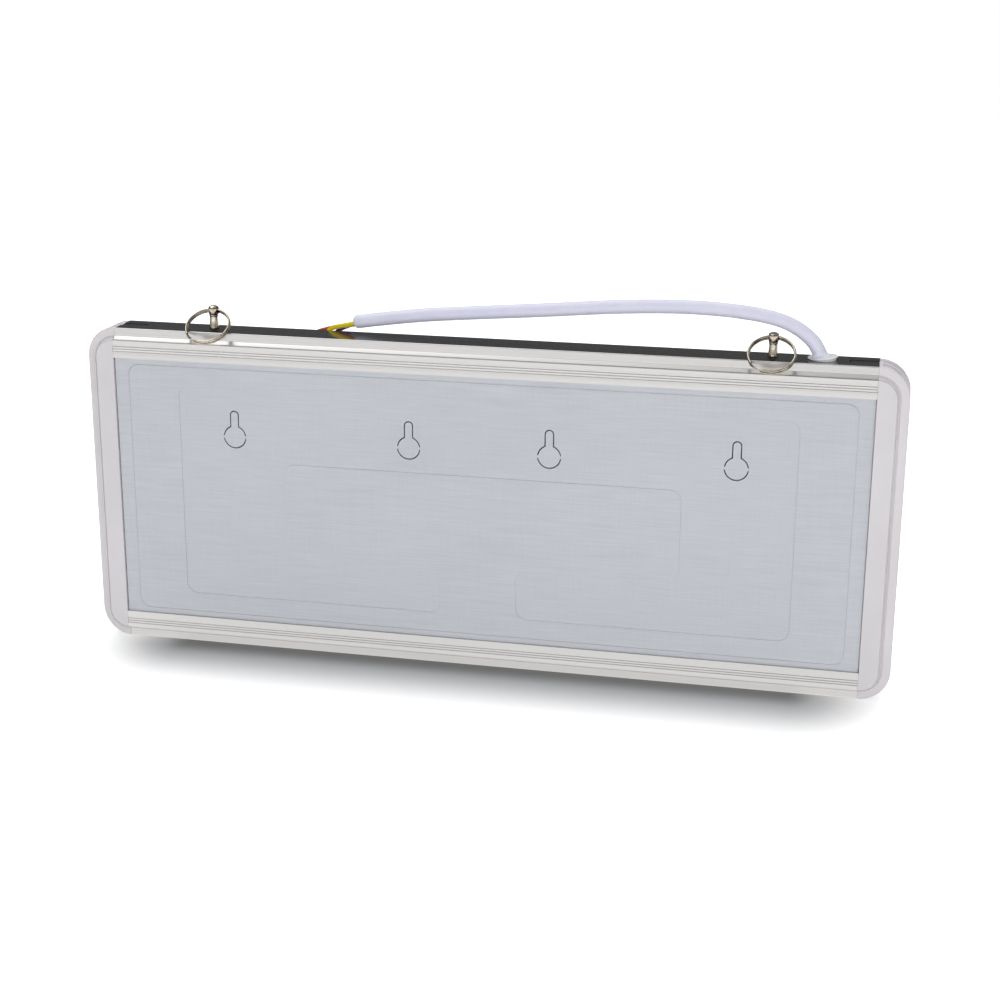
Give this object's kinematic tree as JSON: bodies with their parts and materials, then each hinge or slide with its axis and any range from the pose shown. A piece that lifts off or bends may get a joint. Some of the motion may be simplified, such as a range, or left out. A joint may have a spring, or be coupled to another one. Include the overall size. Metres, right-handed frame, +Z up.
{
  "type": "illuminated exit sign",
  "caption": "Slim illuminated exit sign: aluminium rails, rounded end caps, pressed back panel, hanging posts with split rings and a mains cable with bared cores.",
  "frame": {"origin": "centre of the bottom edge that the sign stands on, midway between its faces", "axes": "+X along the sign to the end with the cable, +Y out of the legend, +Z up"},
  "size_m": [0.3584, 0.0318, 0.1667],
  "materials": {
    "rail": "satin anodised",
    "end_cap": "smooth moulded",
    "back_sheet": "fine brushed along the length",
    "legend": "printed acrylic",
    "diffuser": "matt film",
    "light_guide": "polished clear",
    "reflector": "matt white film",
    "lamp_board": "white solder mask",
    "lamp": "yellow phosphor in white housings",
    "bright_metal": "nickel plated",
    "zinc": "zinc plated",
    "grommet": "translucent soft",
    "sheath": "satin",
    "brown": "satin",
    "yellow": "satin",
    "blue": "satin",
    "board": "green solder mask",
    "nylon": "natural nylon",
    "transformer": "dark ferrite with taped winding",
    "board_parts": "moulded",
    "terminal": "moulded",
    "battery": "shrink sleeve",
    "lead": "satin"
  },
  "bodies": {
    "sign": {"top_rail": "rail", "bottom_rail": "rail", "end_cap_right": "end_cap", "end_cap_left": "end_cap", "back_panel": "back_sheet", "legend_panel": "legend", "diffuser_sheet": "diffuser", "light_guide": "light_guide", "reflector_sheet": "reflector", "led_board": "lamp_board", "leds": "lamp", "hanging_post_left": "bright_metal", "hanging_post_right": "bright_metal", "post_washers": "zinc", "post_nuts": "zinc", "cable_grommet": "grommet", "mains_cable": "sheath", "core_brown": "brown", "core_yellow": "yellow", "core_blue": "blue", "inner_cable": "sheath", "control_board": "board", "board_spacers": "nylon", "transformer": "transformer", "board_parts": "board_parts", "terminal_block": "terminal", "inner_cores": "blue", "cable_clamp": "nylon", "clamp_bar": "nylon", "clamp_screws": "zinc", "battery_pack": "battery", "battery_cradle": "nylon", "battery_leads": "lead", "led_leads": "lead"},
    "ring_left": {"split_ring_left": "bright_metal"},
    "ring_right": {"split_ring_right": "bright_metal"}
  },
  "joints": [
    {"name": "ring_left_swing", "type": "hinge", "parent": "sign", "child": "ring_left", "pos_m": [-0.1225, 0, 0.1532], "axis": [-1, 0, 0], "range_deg": [0, 254]},
    {"name": "ring_right_swing", "type": "hinge", "parent": "sign", "child": "ring_right", "pos_m": [0.1225, 0, 0.1532], "axis": [-1, 0, 0], "range_deg": [0, 60]}
  ]
}
